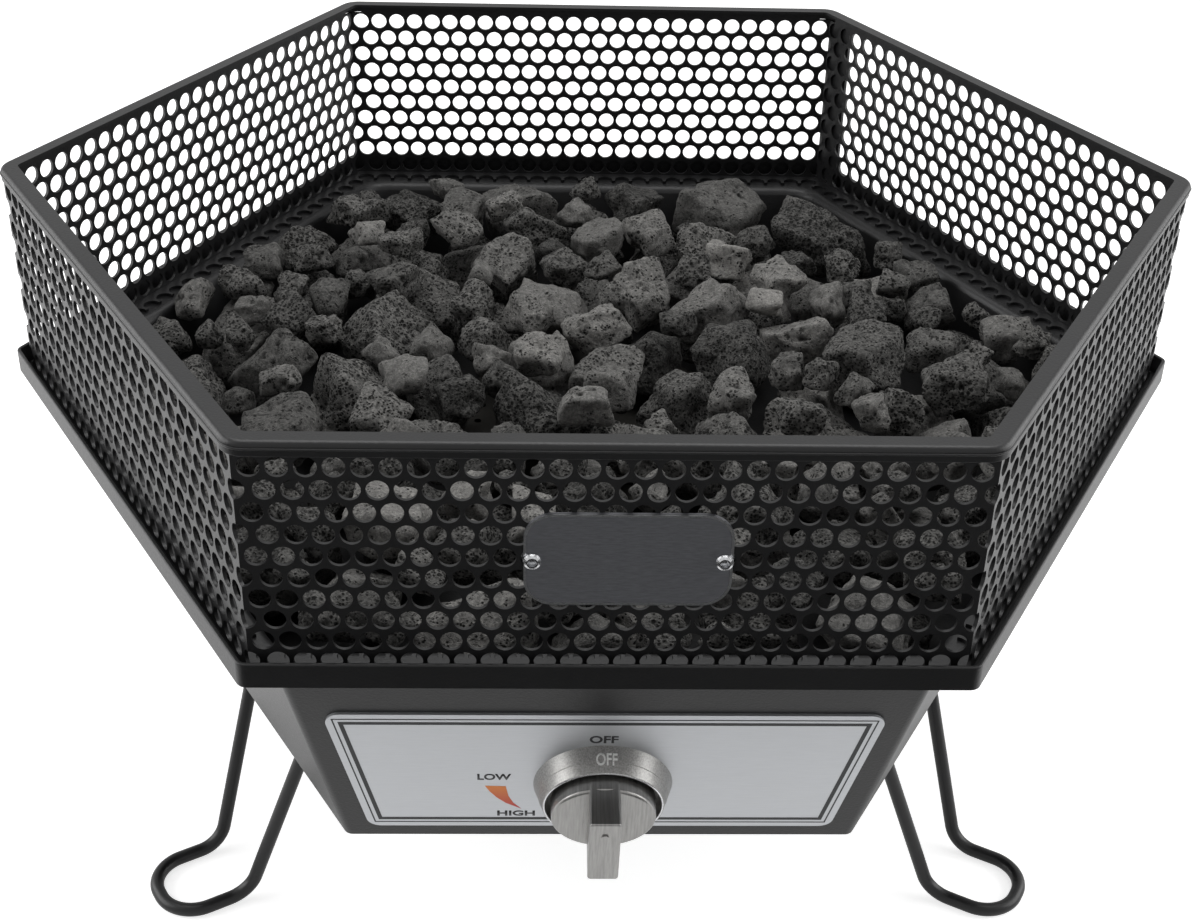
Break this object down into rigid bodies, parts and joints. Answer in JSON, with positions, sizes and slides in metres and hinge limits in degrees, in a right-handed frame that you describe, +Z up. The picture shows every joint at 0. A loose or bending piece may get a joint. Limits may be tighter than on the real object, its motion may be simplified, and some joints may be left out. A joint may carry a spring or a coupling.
{
  "type": "gas fire pit",
  "caption": "Six-sided portable gas fire pit with a lift-off perforated guard, lava rocks, a front control knob and folding wire legs.",
  "frame": {"origin": "on the ground under the middle of the six-sided tray, between the three feet", "axes": "+Z up; two tray corners lie along X; the control knob's wall faces -Y and the gas inlet's wall faces +Y"},
  "size_m": [0.4588, 0.4043, 0.2775],
  "materials": {
    "powder_coat": "black powder coat, low sheen",
    "leg_coat": "black coated wire, low sheen",
    "control_plate": "fine brushed, printed lines",
    "knob_metal": "satin cast and plated",
    "badge_metal": "dark grey satin",
    "bright_steel": "bright zinc",
    "burner_steel": "plain stainless",
    "gas_brass": "machined",
    "gas_tube": "drawn tube",
    "lava": "rough, full of pores"
  },
  "bodies": {
    "base": {"body_shell": "powder_coat", "fire_bowl": "powder_coat", "base_plate": "powder_coat", "leg_bracket_front_left": "leg_coat", "leg_bracket_front_right": "leg_coat", "leg_bracket_back": "leg_coat", "control_plate": "control_plate", "knob_bezel": "knob_metal", "base_screws": "bright_steel", "bezel_screws": "bright_steel", "bracket_rivets": "bright_steel", "burner_head": "burner_steel", "burner_lock_ring": "burner_steel", "mixer_tube": "burner_steel", "gas_valve_body": "gas_brass", "gas_jet": "gas_brass", "inlet_fitting": "gas_brass", "inlet_nut": "gas_brass", "supply_tube": "gas_tube", "lava_rocks": "lava"},
    "valve_rotor": {"valve_plug": "gas_brass"},
    "knob": {"valve_stem": "bright_steel", "control_knob": "knob_metal", "knob_set_screw": "bright_steel"},
    "leg_front_left": {"leg_front_left": "leg_coat"},
    "leg_front_right": {"leg_front_right": "leg_coat"},
    "leg_back": {"leg_back": "leg_coat"},
    "guard": {"guard_panel_front": "powder_coat", "guard_panel_front_right": "powder_coat", "guard_panel_back_right": "powder_coat", "guard_panel_back": "powder_coat", "guard_panel_back_left": "powder_coat", "guard_panel_front_left": "powder_coat", "guard_rim": "powder_coat", "guard_seam": "powder_coat", "badge_plate": "badge_metal", "badge_screws": "bright_steel", "badge_nuts": "bright_steel"}
  },
  "joints": [
    {"name": "knob_turn", "type": "hinge", "parent": "base", "child": "valve_rotor", "pos_m": [0, -0.16622, 0.12264], "axis": [0, -0.9626, -0.271], "range_deg": [0, 135]},
    {"name": "knob_push", "type": "slide", "parent": "valve_rotor", "child": "knob", "axis": [0, 0.9626, 0.271], "range_m": [0, 0.003], "stiffness_N_per_m": 600},
    {"name": "fold_front_left", "type": "hinge", "parent": "base", "child": "leg_front_left", "pos_m": [-0.12384, -0.0715, 0.084], "axis": [0.5, -0.866, 0], "range_deg": [0, 100]},
    {"name": "fold_front_right", "type": "hinge", "parent": "base", "child": "leg_front_right", "pos_m": [0.12384, -0.0715, 0.084], "axis": [0.5, 0.866, 0], "range_deg": [0, 100]},
    {"name": "fold_back", "type": "hinge", "parent": "base", "child": "leg_back", "pos_m": [0, 0.143, 0.084], "axis": [-1, 0, 0], "range_deg": [0, 100]},
    {"name": "guard_lift", "type": "slide", "parent": "base", "child": "guard", "axis": [0, 0, 1], "range_m": [0, 0.1]}
  ]
}
